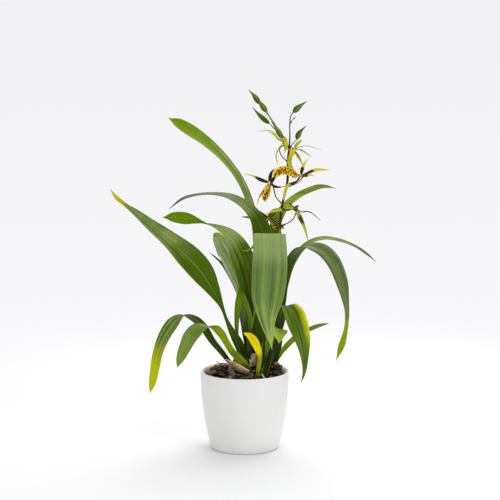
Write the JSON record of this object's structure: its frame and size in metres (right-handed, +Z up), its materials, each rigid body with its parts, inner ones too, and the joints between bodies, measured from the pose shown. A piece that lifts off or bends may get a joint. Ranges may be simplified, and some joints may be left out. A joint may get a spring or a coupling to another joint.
{
  "type": "potted orchid plant",
  "caption": "Flowering orchid with strap leaves, narrow-petalled spotted blooms and pointed buds, growing in bark in a nursery pot inside a round white cover pot.",
  "frame": {"origin": "centre of the cover pot's underside, on the surface that it stands on", "axes": "+Z up along the pot's axis, -Y towards the viewer of the picture, +X to that viewer's right"},
  "size_m": [0.4201, 0.1938, 0.5642],
  "materials": {
    "pot_white": "matt white glaze",
    "nursery_brown": "thin brown moulded plastic",
    "bark": "damp dark bark chips",
    "bulb": "smooth green skin",
    "dry_sheath": "dry, papery and ribbed",
    "leaf": "satin with fine parallel veins",
    "leaf_yellowing": "satin, turning yellow",
    "spike": "smooth dark stem",
    "tepal": "waxy, maroon near the base and yellow green at the tip",
    "lip": "waxy yellow with red brown spots",
    "bud": "waxy dark green",
    "root": "dull pale skin"
  },
  "bodies": {
    "root": {"cover_pot": "pot_white", "nursery_pot": "nursery_brown", "bark_mix": "bark", "pseudobulb_left": "bulb", "pseudobulb_centre": "bulb", "pseudobulb_right": "bulb", "young_shoot": "bulb", "dry_sheath_left": "dry_sheath", "dry_sheath_centre": "dry_sheath", "leaf_tall_left": "leaf", "leaf_arching_left": "leaf", "leaf_front_fold": "leaf", "leaf_twisted_left": "leaf", "leaf_blunt_left": "leaf", "leaf_thin_behind": "leaf", "leaf_inner_folded": "leaf", "leaf_long_left": "leaf", "leaf_low_long_left": "leaf", "leaf_low_short_left": "leaf", "leaf_young_yellow": "leaf_yellowing", "leaf_young_folded": "leaf", "leaf_yellow_edged": "leaf", "leaf_long_right": "leaf", "leaf_thin_right": "leaf", "leaf_upper_right": "leaf", "leaf_low_right": "leaf", "flower_spike": "spike", "bloom_1_tepals": "tepal", "bloom_1_lip": "lip", "bloom_2_tepals": "tepal", "bloom_2_lip": "lip", "bloom_3_tepals": "tepal", "bloom_3_lip": "lip", "bloom_4_tepals": "tepal", "bloom_4_lip": "lip", "bloom_5_tepals": "tepal", "bloom_5_lip": "lip", "bloom_6_tepals": "tepal", "bloom_6_lip": "lip", "bud_1": "bud", "bud_2": "bud", "bud_3": "bud", "bud_4": "bud", "bud_5": "bud", "bud_6": "bud", "bud_7": "bud", "aerial_root": "root"}
  },
  "joints": []
}
